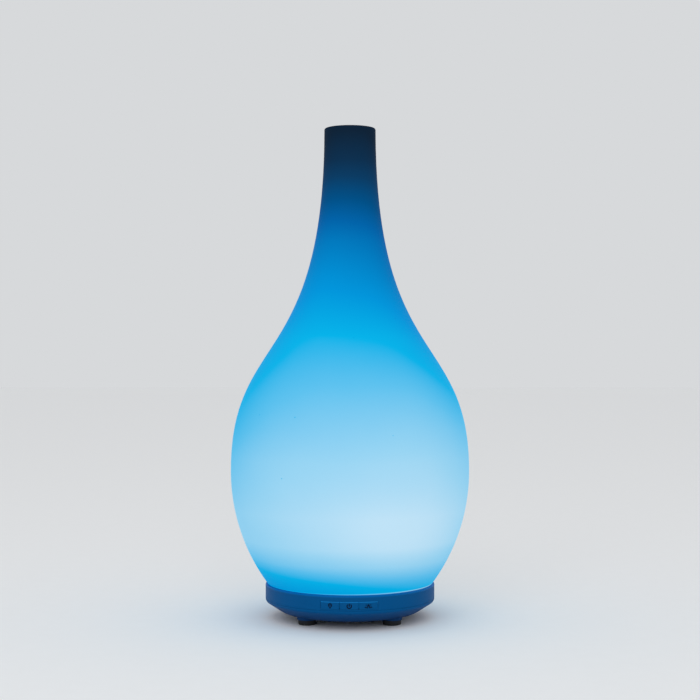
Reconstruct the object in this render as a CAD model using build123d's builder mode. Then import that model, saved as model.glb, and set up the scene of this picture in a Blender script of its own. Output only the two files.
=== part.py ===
from build123d import *
import os
from math import atan2, cos, isclose, pi, radians, sin, sqrt, tan

os.makedirs("parts", exist_ok=True)

# A cool mist humidifier: a teardrop shade of frosted glass stands on a round base that holds
# the water tank, the ultrasonic transducer, a small fan, a ring of lamps and three keys.
# The origin is on the surface that it stands on, under the shade's axis. +Z is up, and the
# keys face -Y. All sizes are in millimetres and all angles in degrees.

# ---------------------------------------------------------------- sizes set by themselves

# Clearances
rest_gap = 0.1  # under a piece that lifts off its seat
fit_gap = 0.3  # round moulded pieces that slot together
bore_gap = 0.05  # round a pin, screw or ring in its hole
free_gap = 1.2  # between neighbours that are mounted apart

# Glass shade
overall_height = 333.2
bulb_radius = 81.1
bulb_height = 100.0  # level of the widest ring
neck_radius = 17.5
shoulder_handle = 95.5  # how long the outline stays upright above the widest ring
throat_handle = 165.0  # how long the outline runs straight below the rim
throat_height = 150.0  # level at which the bulb passes into the throat
glass_wall = 3.0
rim_round = 1.2
foot_round = 0.5

# Base casing
base_radius = 57.5
case_wall = 2.0
skirt_height = 9.8
dish_height = 9.2
dish_floor_radius = 46.0
dish_floor_round = 8.5
dish_edge_round = 2.5
shade_inset = 1.3  # from the casing's edge in to the glass
deck_edge_round = 1.0
parting_round = 0.35
parting_band = 1.7  # upright edge of the dished cover under the parting line
lip_height = 1.4
lip_wall = 1.6
upstand_height = 4.4
upstand_wall = 1.6

# Feet and casing screws
pad_height = 3.4
pad_radius = 6.1
pad_recess = 0.6
pad_round = 0.8
boss_drop = 1.2
boss_radius = 6.7
foot_circle = 39.7
post_radius = 4.2
post_height = 5.4
casing_screw_radius = 1.25
casing_screw_head = 2.4
casing_screw_head_height = 1.8
casing_screw_length = 10.6

# Shade seal
seal_width = 1.6
seal_depth = 1.0
seal_proud = 0.2

# Lamp ring
lamp_count = 12
ring_width = 6.0
ring_leg = 0.8
ring_top = 1.2
lamp_board_thickness = 1.0
lamp_width = 2.8
lamp_height = 1.2

# Water tank
tank_wall = 2.0
tank_rim_height = 74.0
plinth_height = 3.4
floor_fall = 2.0
floor_wall = 2.0
well_radius = 16.0
well_depth = 1.4
port_radius = 8.0
tank_round = 4.0
fill_line_drop = 14.0  # from the rim down to the moulded fill line
fill_line_height = 0.8
fill_line_proud = 0.5
tank_screw_circle = 33.0
tank_screw_count = 3

# Air column in the tank
column_bore = 6.5
column_wall = 1.5
column_drop = 8.0  # from the tank's rim down to the column's high side
column_cut_angle = 30.0

# Level probes
probe_radius = 1.5
probe_head_radius = 2.6
probe_circle = 20.9
probe_rise = 5.0
probe_angles = (52.0, 82.0)

# Mist cover and nozzle
cover_wall = 1.6
cover_skirt = 5.0
dome_rise = 12.0
collar_radius = 12.6
nozzle_wall = 1.5
nozzle_rise = 32.0
nozzle_dip = 12.0
nozzle_taper = 1.4
nozzle_flange = 2.4
nozzle_flange_height = 1.4

# Transducer
disc_radius = 10.0
disc_thickness = 1.2
seal_lip = 1.1
seal_wall = 2.0
clamp_thickness = 0.8
clamp_bore = 7.0
clamp_ear_radius = 2.4
clamp_boss_wall = 1.0

# Small screws
small_screw_radius = 0.95
small_screw_head = 1.8
small_screw_head_height = 1.2

# Keys and their switches
key_count = 3
key_width = 12.1
key_pitch = 12.4
key_height = 4.6
key_low = 1.2  # above the parting line
key_proud = 0.4
key_gap = 0.15
key_round = 0.35
key_flange = 0.8
key_flange_thickness = 1.0
key_stem_radius = 1.6
key_stem = 1.5
key_travel = 0.5
switch_size = 6.0
switch_depth = 3.5
plunger_radius = 1.7
plunger_length = 0.8
key_board_thickness = 1.2
bracket_width = 3.0
bracket_wall = 2.0
bracket_grip = 2.6

# Fan
fan_size = 25.0
fan_depth = 10.0
fan_corner = 2.0
fan_seat = 1.2
fan_bore = 11.7
fan_screw_spacing = 20.0
blade_count = 7
blade_radius = 11.2
blade_thickness = 0.9
blade_chord = 6.4
root_pitch = 48.0
tip_pitch = 30.0
hub_radius = 6.0
hub_wall = 1.0
hub_height = 7.2
hub_lift = 0.8
fan_shaft_radius = 0.75
bearing_radius = 2.0
motor_plate = 1.0
strut_count = 4
strut_width = 1.6
coil_radius = 4.3
coil_height = 3.6
coil_pole_count = 4
grille_radius = 11.0
grille_slot = 1.8
grille_pitch = 3.6
hood_wall = 1.2
hood_height = 2.2
spout_wall = 1.0
spout_rise = 5.0

# Control board and what it carries
board_thickness = 1.6
board_right = 40.0
board_half_depth = 20.0
tongue_half_width = 9.0
tongue_end = 45.0
board_screw_inset = 4.0
board_post_radius = 2.4
chip_size = (7.0, 7.0, 1.4)
coil_choke_radius = 4.6
coil_choke_height = 6.0
coil_choke_shift = 4.0
capacitor_radius = 2.6
capacitor_height = 7.6
heat_sink_size = (9.0, 11.0, 8.0)
heat_sink_fin_count = 4
heat_sink_base = 1.6
transistor_size = (1.8, 8.0, 7.0)
header_size = (4.2, 6.0, 4.6)
header_wall = 0.8
header_spacing = 12.0
header_count = 3

# Power inlet
inlet_axis_height = 6.0
inlet_width = 9.0
inlet_depth = 13.0
inlet_bore = 3.05
inlet_bore_depth = 11.0
inlet_pin_radius = 1.0
inlet_hole_radius = 3.4

# ---------------------------------------------------------------- places worked out from them

floor_z = pad_height + boss_drop
parting_z = floor_z + dish_height
deck_z = parting_z + skirt_height
deck_under_z = deck_z - case_wall
floor_top_z = floor_z + case_wall
lip_top_z = parting_z + lip_height
wall_inner = base_radius - case_wall

shade_z = deck_z + seal_proud + rest_gap
foot_radius = base_radius - shade_inset
foot_lean = 2 * atan2(bulb_radius - foot_radius, bulb_height - shade_z)
foot_inner = foot_radius - glass_wall / cos(foot_lean)
seal_radius = (foot_radius + foot_inner) / 2

upstand_outer = foot_inner - fit_gap
upstand_inner = upstand_outer - upstand_wall
ring_outer = upstand_inner - fit_gap
ring_inner = ring_outer - ring_width
ring_mid = (ring_inner + ring_outer) / 2
lamp_board_z = deck_z + lamp_board_thickness
lamp_length = ring_width - 2 * ring_leg - 2 * fit_gap

tank_outer = ring_inner - fit_gap
tank_inner = tank_outer - tank_wall
plinth_z = deck_z + plinth_height
tank_floor_z = plinth_z + floor_wall
well_outer = well_radius + floor_wall
well_lip_z = tank_floor_z - floor_fall
well_top_z = well_lip_z - well_depth
well_under_z = well_top_z - floor_wall
deck_hole = well_outer + probe_head_radius + free_gap + (probe_circle - well_outer)

column_radius = column_bore + column_wall
column_x = tank_inner - column_radius + column_wall / 2
column_top_z = tank_rim_height - column_drop

cover_z = tank_rim_height + rest_gap
cover_inner = tank_outer + fit_gap
cover_outer = cover_inner + cover_wall
dome_z = cover_z + dome_rise

seal_bore = port_radius
disc_top_z = well_under_z - seal_lip
disc_low_z = disc_top_z - disc_thickness
seal_low_z = disc_low_z - seal_lip
clamp_low_z = seal_low_z - clamp_thickness
seal_outer = disc_radius + bore_gap + seal_wall
clamp_boss_radius = small_screw_radius + bore_gap + clamp_boss_wall
clamp_outer = seal_outer + fit_gap
clamp_screw_circle = seal_outer + clamp_boss_radius + fit_gap

fan_x = clamp_outer + free_gap + fan_size / 2
fan_low_z = floor_top_z + fan_seat
fan_top_z = fan_low_z + fan_depth
hood_top_z = fan_top_z + hood_wall + hood_height
spout_outer = column_bore - fit_gap

key_low_z = parting_z + key_low
key_mid_z = key_low_z + key_height / 2
key_places = [key_pitch * (i - (key_count - 1) / 2) for i in range(key_count)]
window_half = key_places[-1] + key_width / 2 + key_gap
flange_y = -(sqrt(wall_inner**2 - window_half**2) - key_travel)
stem_y = flange_y + key_flange_thickness
stem_end_y = stem_y + key_stem
plunger_y = stem_end_y + key_travel + rest_gap
switch_y = plunger_y + plunger_length
key_board_y = switch_y + switch_depth
key_board_low_z = key_mid_z - switch_size / 2 - bracket_wall
key_board_high_z = deck_under_z - fit_gap

post_split_z = floor_top_z + post_height
screw_seat_z = floor_top_z + pad_recess

inlet_z = (parting_z + deck_under_z) / 2
board_top_z = inlet_z - inlet_axis_height
board_low_z = board_top_z - board_thickness
board_left = -(clamp_outer - free_gap * 2)
inlet_nose_radius = (deck_under_z - parting_z) / 2 - rest_gap
inlet_nose_y = sqrt(wall_inner**2 - inlet_nose_radius**2) - rest_gap
inlet_face_y = tongue_end + inlet_depth / 2 - free_gap
inlet_high_z = deck_under_z - fit_gap


def polar(radius, angle):
    """The point at this radius and angle about the upright axis."""
    return (radius * cos(radians(angle)), radius * sin(radians(angle)))


foot_places = [polar(foot_circle, 45 + 90 * i) for i in range(4)]
tank_screw_step = 360 / tank_screw_count
tank_screw_places = [polar(tank_screw_circle, 90 + tank_screw_step * i) for i in range(tank_screw_count)]
clamp_screw_places = [polar(clamp_screw_circle, 120 * i) for i in range(3)]
fan_screw_places = [
    (-fan_x + sx * fan_screw_spacing / 2, sy * fan_screw_spacing / 2) for sx in (-1, 1) for sy in (-1, 1)
]
board_screw_places = [
    (board_right - board_screw_inset, board_half_depth - board_screw_inset),
    (board_right - board_screw_inset, board_screw_inset - board_half_depth),
    (0, tongue_end - inlet_depth - board_screw_inset),
]
lamp_places = [360 / lamp_count * i for i in range(lamp_count)]


def floor_under(radius):
    """Height of the tank floor's underside at this radius."""
    share = (radius - well_outer) / (tank_inner - well_outer)
    return plinth_z - floor_fall * (1 - share)


def cavity_radius(height):
    """Inner radius of the dished cover at this height."""
    slope = atan2(dish_height - parting_band, base_radius - dish_floor_radius)
    return base_radius - (parting_z - parting_band - height) / tan(slope) - case_wall / sin(slope)


def circles_at(part, radius, height):
    """The part's round edges of this radius at this height."""
    rounds = part.edges().filter_by(GeomType.CIRCLE)
    return rounds.filter_by(
        lambda edge: isclose(edge.radius, radius, abs_tol=0.01)
        and isclose(edge.arc_center.Z, height, abs_tol=0.01)
    )


def finish(part, name):
    """Names a finished piece and writes it."""
    part.label = name
    export_step(part, f"parts/{name}.step")


def make_screws(places, seat_z, shank_radius, head_radius, head_height, length, way):
    """Pan-head screws at these places: heads seated at seat_z, shanks up (way 1) or down (way -1)."""
    with BuildPart() as screws:
        with BuildSketch(Plane.XY.offset(seat_z)):
            with Locations(*places):
                Circle(head_radius)
        extrude(amount=-way * head_height)
        with BuildSketch(Plane.XY.offset(seat_z)):
            with Locations(*places):
                Circle(shank_radius)
        extrude(amount=way * length)
        with BuildSketch(Plane.XY.offset(seat_z - way * head_height)):
            with Locations(*places):
                Rectangle(head_radius * 1.2, head_radius * 0.3)
                Rectangle(head_radius * 0.3, head_radius * 1.2)
        extrude(amount=way * head_height / 2, mode=Mode.SUBTRACT)
    return screws.part


# ---------------------------------------------------------------- glass shade


def shade_line(inset):
    """Half of the shade's outline from the foot to the rim, set in by the wall or by nothing."""
    widest = (bulb_radius - inset, bulb_height)
    TangentArc(widest, (foot_radius - inset / cos(foot_lean), shade_z), tangent=(0, -1))
    Bezier(
        widest,
        (bulb_radius - inset, bulb_height + shoulder_handle),
        (neck_radius - inset, overall_height - throat_handle),
        (neck_radius - inset, overall_height),
    )


with BuildPart() as whole_shade:
    with BuildSketch(Plane.XZ):
        with BuildLine():
            shade_line(0)
            shade_line(glass_wall)
            Line((foot_inner, shade_z), (foot_radius, shade_z))
            Line((neck_radius - glass_wall, overall_height), (neck_radius, overall_height))
        make_face()
    revolve(axis=Axis.Z)
    fillet(circles_at(whole_shade, neck_radius, overall_height), rim_round)
    fillet(circles_at(whole_shade, neck_radius - glass_wall, overall_height), rim_round)
    fillet(circles_at(whole_shade, foot_radius, shade_z), foot_round)
# The bulb and the throat meet on a flat ring
throat_plane = Plane.XY.offset(throat_height)
finish(split(whole_shade.part, bisect_by=throat_plane, keep=Keep.BOTTOM), "glass_shade")
finish(split(whole_shade.part, bisect_by=throat_plane, keep=Keep.TOP), "glass_throat")

with BuildPart() as shade_seal:
    with BuildSketch(Plane.XY.offset(deck_z - seal_depth)):
        Circle(seal_radius + seal_width / 2 - bore_gap)
        Circle(seal_radius - seal_width / 2 + bore_gap, mode=Mode.SUBTRACT)
    extrude(amount=seal_depth + seal_proud)
finish(shade_seal.part, "shade_seal")

# ---------------------------------------------------------------- base casing

with BuildPart() as upper_housing:
    with BuildSketch(Plane.XZ):
        Polygon(
            (base_radius, parting_z),
            (base_radius, deck_z),
            (upstand_outer, deck_z),
            (upstand_outer, deck_z + upstand_height),
            (upstand_inner, deck_z + upstand_height),
            (upstand_inner, deck_z),
            (deck_hole, deck_z),
            (deck_hole, deck_under_z),
            (wall_inner, deck_under_z),
            (wall_inner, parting_z),
            align=None,
        )
    revolve(axis=Axis.Z)
    fillet(circles_at(upper_housing, base_radius, deck_z), deck_edge_round)
    fillet(circles_at(upper_housing, base_radius, parting_z), parting_round)
    # Groove for the shade's seal
    with BuildSketch(Plane.XY.offset(deck_z)):
        Circle(seal_radius + seal_width / 2)
        Circle(seal_radius - seal_width / 2, mode=Mode.SUBTRACT)
    extrude(amount=-seal_depth, mode=Mode.SUBTRACT)
    # Posts that the casing screws bite into
    with BuildSketch(Plane.XY.offset(post_split_z)):
        with Locations(*foot_places):
            Circle(post_radius)
            Circle(casing_screw_radius + bore_gap, mode=Mode.SUBTRACT)
    extrude(amount=deck_under_z - post_split_z)
    # Ways through the deck for the tank's screws and the air spout
    with BuildSketch(Plane.XY.offset(deck_z)):
        with Locations(*tank_screw_places):
            Circle(small_screw_radius + bore_gap)
        with Locations((-column_x, 0)):
            Circle(spout_outer + fit_gap)
    extrude(amount=-case_wall, mode=Mode.SUBTRACT)
    # Window that the three keys stand in
    with Locations((0, -base_radius, key_mid_z)):
        window_depth = 2 * (base_radius + flange_y)
        Box(2 * window_half, window_depth, key_height + 2 * key_gap, mode=Mode.SUBTRACT)
    # Hole for the power plug at the back
    with BuildSketch(Plane.XZ.offset(-base_radius)):
        with Locations((0, inlet_z)):
            Circle(inlet_hole_radius)
    extrude(amount=2 * case_wall, both=True, mode=Mode.SUBTRACT)
finish(upper_housing.part, "upper_housing")

# What the dished cover leaves free inside: its posts, brackets and seats stay standing in it.
with BuildPart(mode=Mode.PRIVATE) as cover_cavity:
    with BuildSketch(Plane.XZ):
        Polygon(
            (0, floor_top_z),
            (cavity_radius(floor_top_z), floor_top_z),
            (wall_inner - fit_gap - lip_wall, parting_z - parting_band),
            (wall_inner - fit_gap - lip_wall, lip_top_z),
            (0, lip_top_z),
            align=None,
        )
    revolve(axis=Axis.Z)
    # Casing screw posts
    with BuildSketch(Plane.XY.offset(floor_z)):
        with Locations(*foot_places):
            Circle(post_radius)
    extrude(amount=post_split_z - floor_z, mode=Mode.SUBTRACT)
    # Seats under the fan's corners
    with BuildSketch(Plane.XY.offset(floor_z)):
        with Locations(*fan_screw_places):
            Circle(small_screw_radius + case_wall)
    extrude(amount=fan_low_z - floor_z, mode=Mode.SUBTRACT)
    # Posts under the control board
    with BuildSketch(Plane.XY.offset(floor_z)):
        with Locations(*board_screw_places):
            Circle(board_post_radius)
    extrude(amount=board_low_z - floor_z, mode=Mode.SUBTRACT)
    # Slotted brackets that hold the key board upright
    bracket_depth = key_board_thickness + 2 * bracket_wall
    with BuildSketch(Plane.XY.offset(floor_z)):
        with Locations(*[(side * key_pitch / 2, key_board_y + key_board_thickness / 2) for side in (-1, 1)]):
            Rectangle(bracket_width, bracket_depth)
    extrude(amount=key_board_low_z + bracket_grip - floor_z, mode=Mode.SUBTRACT)

with BuildPart() as bottom_cover:
    with BuildSketch(Plane.XZ):
        Polygon(
            (0, floor_z),
            (dish_floor_radius, floor_z),
            (base_radius, parting_z - parting_band),
            (base_radius, parting_z),
            (wall_inner - fit_gap, parting_z),
            (wall_inner - fit_gap, lip_top_z),
            (0, lip_top_z),
            align=None,
        )
    revolve(axis=Axis.Z)
    fillet(circles_at(bottom_cover, dish_floor_radius, floor_z), dish_floor_round)
    fillet(circles_at(bottom_cover, base_radius, parting_z - parting_band), dish_edge_round)
    fillet(circles_at(bottom_cover, base_radius, parting_z), parting_round)
    # Bosses over the foot pads
    with BuildSketch(Plane.XY.offset(pad_height)):
        with Locations(*foot_places):
            Circle(boss_radius)
    extrude(amount=boss_drop + case_wall / 2)
    add(cover_cavity.part, mode=Mode.SUBTRACT)
    # Recesses for the pads, then the screw heads' wells and the screws' ways
    for radius, low, high in (
        (pad_radius + bore_gap, pad_height, pad_height + pad_recess),
        (casing_screw_head + fit_gap, pad_height, screw_seat_z),
        (casing_screw_radius + bore_gap, pad_height, post_split_z),
    ):
        with BuildSketch(Plane.XY.offset(low)):
            with Locations(*foot_places):
                Circle(radius)
        extrude(amount=high - low, mode=Mode.SUBTRACT)
    # Blind holes for the fan's and the board's screws
    with BuildSketch(Plane.XY.offset(fan_low_z)):
        with Locations(*fan_screw_places):
            Circle(small_screw_radius + bore_gap)
    extrude(amount=-case_wall, mode=Mode.SUBTRACT)
    with BuildSketch(Plane.XY.offset(board_low_z)):
        with Locations(*board_screw_places):
            Circle(small_screw_radius + bore_gap)
    extrude(amount=floor_top_z - board_low_z, mode=Mode.SUBTRACT)
    # Slots that grip the key board
    with BuildSketch(Plane.XY.offset(key_board_low_z)):
        with Locations((0, key_board_y + key_board_thickness / 2)):
            Rectangle(key_pitch + 2 * bracket_width, key_board_thickness + 2 * bore_gap)
    extrude(amount=bracket_grip, mode=Mode.SUBTRACT)
    # Notches in the lip behind the keys and round the power inlet
    for width, side in ((2 * window_half + free_gap, -1), (2 * inlet_nose_radius + free_gap, 1)):
        with Locations((0, side * base_radius, parting_z + lip_height / 2)):
            Box(width, base_radius / 2, lip_height, mode=Mode.SUBTRACT)
    # Air intake under the fan
    with BuildSketch(Plane.XY.offset(floor_z)):
        row_count = int(grille_radius / grille_pitch)
        for row in range(-row_count, row_count + 1):
            across = row * grille_pitch
            with Locations((-fan_x, across)):
                SlotOverall(2 * sqrt(grille_radius**2 - across**2), grille_slot)
    extrude(amount=case_wall, mode=Mode.SUBTRACT)
finish(bottom_cover.part, "bottom_cover")

with BuildPart() as foot_pads:
    with BuildSketch():
        with Locations(*foot_places):
            Circle(pad_radius)
    extrude(amount=pad_height + pad_recess)
    fillet(foot_pads.edges().group_by(Axis.Z)[0], pad_round)
finish(foot_pads.part, "foot_pads")

casing_screws = make_screws(
    foot_places,
    screw_seat_z,
    casing_screw_radius,
    casing_screw_head,
    casing_screw_head_height,
    casing_screw_length,
    1,
)
finish(casing_screws, "casing_screws")

# ---------------------------------------------------------------- lamp ring

with BuildPart() as lamp_board:
    with BuildSketch(Plane.XY.offset(deck_z)):
        Circle(ring_outer)
        Circle(ring_inner, mode=Mode.SUBTRACT)
    extrude(amount=lamp_board_thickness)
finish(lamp_board.part, "lamp_board")

with BuildPart() as lamps:
    with BuildSketch(Plane.XY.offset(lamp_board_z)):
        for angle in lamp_places:
            with Locations(Location((*polar(ring_mid, angle), 0), (0, 0, angle))):
                Rectangle(lamp_length, lamp_width)
    extrude(amount=lamp_height)
    # Shallow round window of each lamp
    with BuildSketch(Plane.XY.offset(lamp_board_z + lamp_height)):
        for angle in lamp_places:
            with Locations((*polar(ring_mid, angle), 0)):
                Circle(lamp_width * 0.38)
    extrude(amount=-lamp_height / 4, mode=Mode.SUBTRACT)
finish(lamps.part, "lamps")

with BuildPart() as light_ring:
    with BuildSketch(Plane.XZ):
        ring_low = lamp_board_z
        ring_high = deck_z + upstand_height
        Polygon(
            (ring_inner, ring_low),
            (ring_inner, ring_high),
            (ring_outer, ring_high),
            (ring_outer, ring_low),
            (ring_outer - ring_leg, ring_low),
            (ring_outer - ring_leg, ring_high - ring_top),
            (ring_inner + ring_leg, ring_high - ring_top),
            (ring_inner + ring_leg, ring_low),
            align=None,
        )
    revolve(axis=Axis.Z)
finish(light_ring.part, "light_ring")

# ---------------------------------------------------------------- water tank

with BuildPart() as water_tank:
    with BuildSketch(Plane.XZ):
        fill_line_z = tank_rim_height - fill_line_drop
        Polygon(
            (tank_outer, deck_z),
            (tank_outer, tank_rim_height),
            (tank_inner, tank_rim_height),
            (tank_inner, fill_line_z + fill_line_height),
            (tank_inner - fill_line_proud, fill_line_z),
            (tank_inner, fill_line_z - fill_line_height),
            (tank_inner, tank_floor_z),
            (well_radius, well_lip_z),
            (well_radius, well_top_z),
            (port_radius, well_top_z),
            (port_radius, well_under_z),
            (well_outer, well_under_z),
            (well_outer, plinth_z - floor_fall),
            (tank_inner, plinth_z),
            (tank_inner, deck_z),
            align=None,
        )
    revolve(axis=Axis.Z)
    fillet(circles_at(water_tank, tank_inner, tank_floor_z), tank_round)
    # Air column, open above the water and cut off slanting towards the middle
    with BuildSketch(Plane.XY.offset(deck_z)):
        with Locations((-column_x, 0)):
            Circle(column_radius)
    extrude(amount=column_top_z - deck_z)
    with BuildSketch(Plane.XY.offset(deck_z)):
        with Locations((-column_x, 0)):
            Circle(column_bore)
    extrude(amount=column_top_z - deck_z, mode=Mode.SUBTRACT)
    with BuildSketch(Plane.XZ):
        slant = 2 * column_radius * tan(radians(column_cut_angle))
        Polygon(
            (-column_x - column_radius, column_top_z),
            (-column_x + column_radius, column_top_z),
            (-column_x + column_radius, column_top_z - slant),
            align=None,
        )
    extrude(amount=column_radius, both=True, mode=Mode.SUBTRACT)
    # The column's outer side ends flush with the tank's own wall
    with BuildSketch(Plane.XY.offset(deck_z)):
        Circle(tank_outer + column_radius)
        Circle(tank_outer, mode=Mode.SUBTRACT)
    extrude(amount=column_top_z - deck_z, mode=Mode.SUBTRACT)
    # Bosses for the screws that hold the tank down
    with BuildSketch(Plane.XY.offset(deck_z)):
        with Locations(*tank_screw_places):
            Circle(small_screw_radius + case_wall)
    extrude(amount=floor_under(tank_screw_circle) + floor_wall / 2 - deck_z)
    with BuildSketch(Plane.XY.offset(deck_z)):
        with Locations(*tank_screw_places):
            Circle(small_screw_radius + bore_gap)
    extrude(amount=plinth_height, mode=Mode.SUBTRACT)
    # Bosses for the transducer clamp
    with BuildSketch(Plane.XY.offset(seal_low_z)):
        with Locations(*clamp_screw_places):
            Circle(clamp_boss_radius)
    extrude(amount=well_under_z - seal_low_z)
    with BuildSketch(Plane.XY.offset(seal_low_z)):
        with Locations(*clamp_screw_places):
            Circle(small_screw_radius + bore_gap)
    extrude(amount=well_under_z - seal_low_z + floor_wall / 2, mode=Mode.SUBTRACT)
    # Holes for the level probes
    with BuildSketch(Plane.XY.offset(deck_z)):
        with Locations(*[polar(probe_circle, angle) for angle in probe_angles]):
            Circle(probe_radius + bore_gap)
    extrude(amount=tank_floor_z - deck_z, mode=Mode.SUBTRACT)
finish(water_tank.part, "water_tank")

with BuildPart() as level_probes:
    probe_places = [polar(probe_circle, angle) for angle in probe_angles]
    probe_seat_z = floor_under(probe_circle - probe_head_radius)
    with BuildSketch(Plane.XY.offset(probe_seat_z - rest_gap)):
        with Locations(*probe_places):
            Circle(probe_head_radius)
    extrude(amount=-case_wall / 2)
    with BuildSketch(Plane.XY.offset(probe_seat_z - rest_gap)):
        with Locations(*probe_places):
            Circle(probe_radius)
    extrude(amount=floor_wall + floor_fall + probe_rise)
    fillet(level_probes.edges().group_by(Axis.Z)[-1], probe_radius / 2)
finish(level_probes.part, "level_probes")

tank_screws = make_screws(
    tank_screw_places,
    deck_under_z,
    small_screw_radius,
    small_screw_head,
    small_screw_head_height,
    case_wall + plinth_height - rest_gap,
    1,
)
finish(tank_screws, "tank_screws")

# ---------------------------------------------------------------- mist cover

with BuildPart() as mist_cover:
    with BuildSketch(Plane.XZ):
        with BuildLine():
            skirt_low = tank_rim_height - cover_skirt
            ledge = tank_inner - cover_wall
            Polyline(
                (ledge, cover_z),
                (cover_inner, cover_z),
                (cover_inner, skirt_low),
                (cover_outer, skirt_low),
                (cover_outer, cover_z + cover_wall),
            )
            TangentArc((collar_radius, dome_z), (cover_outer, cover_z + cover_wall), tangent=(1, 0))
            Line((collar_radius, dome_z), (collar_radius, dome_z - cover_wall))
            TangentArc((collar_radius, dome_z - cover_wall), (ledge, cover_z), tangent=(1, 0))
        make_face()
    revolve(axis=Axis.Z)
finish(mist_cover.part, "mist_cover")

with BuildPart() as mist_nozzle:
    with BuildSketch(Plane.XZ):
        plug = collar_radius - bore_gap
        tip = plug - nozzle_taper
        nozzle_top_z = dome_z + nozzle_rise
        Polygon(
            (plug - nozzle_wall, tank_rim_height - nozzle_dip),
            (plug, tank_rim_height - nozzle_dip),
            (plug, dome_z),
            (plug + nozzle_flange, dome_z),
            (plug + nozzle_flange, dome_z + nozzle_flange_height),
            (plug, dome_z + nozzle_flange_height),
            (tip, nozzle_top_z),
            (tip - nozzle_wall, nozzle_top_z),
            align=None,
        )
    revolve(axis=Axis.Z)
    fillet(circles_at(mist_nozzle, plug + nozzle_flange, dome_z + nozzle_flange_height), nozzle_flange_height / 3)
    fillet(circles_at(mist_nozzle, tip, nozzle_top_z), nozzle_wall / 3)
finish(mist_nozzle.part, "mist_nozzle")

# ---------------------------------------------------------------- transducer

with BuildPart() as transducer_disc:
    with BuildSketch(Plane.XY.offset(disc_low_z)):
        Circle(disc_radius)
    extrude(amount=disc_thickness)
finish(transducer_disc.part, "transducer_disc")

with BuildPart() as transducer_seal:
    with BuildSketch(Plane.XZ):
        disc_edge = disc_radius + bore_gap
        Polygon(
            (seal_bore, well_under_z),
            (seal_outer, well_under_z),
            (seal_outer, seal_low_z),
            (seal_bore, seal_low_z),
            (seal_bore, disc_low_z),
            (disc_edge, disc_low_z),
            (disc_edge, disc_top_z),
            (seal_bore, disc_top_z),
            align=None,
        )
    revolve(axis=Axis.Z)
finish(transducer_seal.part, "transducer_seal")

with BuildPart() as transducer_clamp:
    with BuildSketch(Plane.XY.offset(clamp_low_z)):
        Circle(clamp_outer)
        for place in clamp_screw_places:
            with Locations(place):
                Circle(clamp_ear_radius)
        Circle(clamp_bore, mode=Mode.SUBTRACT)
        with Locations(*clamp_screw_places):
            Circle(small_screw_radius + bore_gap, mode=Mode.SUBTRACT)
    extrude(amount=clamp_thickness)
finish(transducer_clamp.part, "transducer_clamp")

clamp_screws = make_screws(
    clamp_screw_places,
    clamp_low_z,
    small_screw_radius,
    small_screw_head,
    small_screw_head_height,
    well_under_z - clamp_low_z,
    1,
)
finish(clamp_screws, "clamp_screws")

# ---------------------------------------------------------------- keys and switches


def make_key(across):
    """A key cap that follows the casing's round wall, with its flange and stem behind it."""
    with BuildPart() as key:
        with BuildSketch(Plane.XY.offset(key_low_z)):
            Circle(base_radius + key_proud)
            with Locations((across, flange_y - base_radius / 2)):
                Rectangle(key_width, base_radius, mode=Mode.INTERSECT)
        extrude(amount=key_height)
        fillet(key.faces().sort_by(Axis.Y)[0].edges(), key_round)
        with Locations((across, flange_y + key_flange_thickness / 2, key_mid_z)):
            Box(key_width, key_flange_thickness, key_height + 2 * key_flange)
        with BuildSketch(Plane.XZ.offset(-stem_y)):
            with Locations((across, key_mid_z)):
                Circle(key_stem_radius)
        extrude(amount=-key_stem)
    return key.part


for key_name, key_place in zip(("light_button", "power_button", "mist_button"), key_places):
    finish(make_key(key_place), key_name)

with BuildPart() as key_switches:
    for place in key_places:
        with Locations((place, switch_y + switch_depth / 2, key_mid_z)):
            Box(switch_size, switch_depth, switch_size)
    with BuildSketch(Plane.XZ.offset(-switch_y)):
        with Locations(*[(place, key_mid_z) for place in key_places]):
            Circle(plunger_radius)
    extrude(amount=plunger_length)
finish(key_switches.part, "key_switches")

with BuildPart() as key_board:
    with Locations((0, key_board_y + key_board_thickness / 2, (key_board_low_z + key_board_high_z) / 2)):
        Box(2 * window_half, key_board_thickness, key_board_high_z - key_board_low_z)
finish(key_board.part, "key_board")

# ---------------------------------------------------------------- fan and air hood

with BuildPart() as fan_frame:
    with BuildSketch(Plane.XY.offset(fan_low_z)):
        with Locations((-fan_x, 0)):
            RectangleRounded(fan_size, fan_size, fan_corner)
            Circle(fan_bore, mode=Mode.SUBTRACT)
        with Locations(*fan_screw_places):
            Circle(small_screw_radius + bore_gap, mode=Mode.SUBTRACT)
    extrude(amount=fan_depth)
    # Motor plate and struts across the outlet side, and the bearing tube below them
    with BuildSketch(Plane.XY.offset(fan_top_z)):
        with Locations((-fan_x, 0)):
            Circle(hub_radius)
            with PolarLocations((hub_radius + fan_bore) / 2, strut_count):
                Rectangle(fan_bore - hub_radius + strut_width, strut_width)
    extrude(amount=-motor_plate)
    with BuildSketch(Plane.XY.offset(fan_top_z - motor_plate)):
        with Locations((-fan_x, 0)):
            Circle(bearing_radius)
            Circle(fan_shaft_radius + bore_gap, mode=Mode.SUBTRACT)
    extrude(amount=-(hub_height - hub_wall - rest_gap))
finish(fan_frame.part, "fan_frame")

hub_low_z = fan_low_z + hub_lift
blade_low_z = hub_low_z + fit_gap

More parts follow.
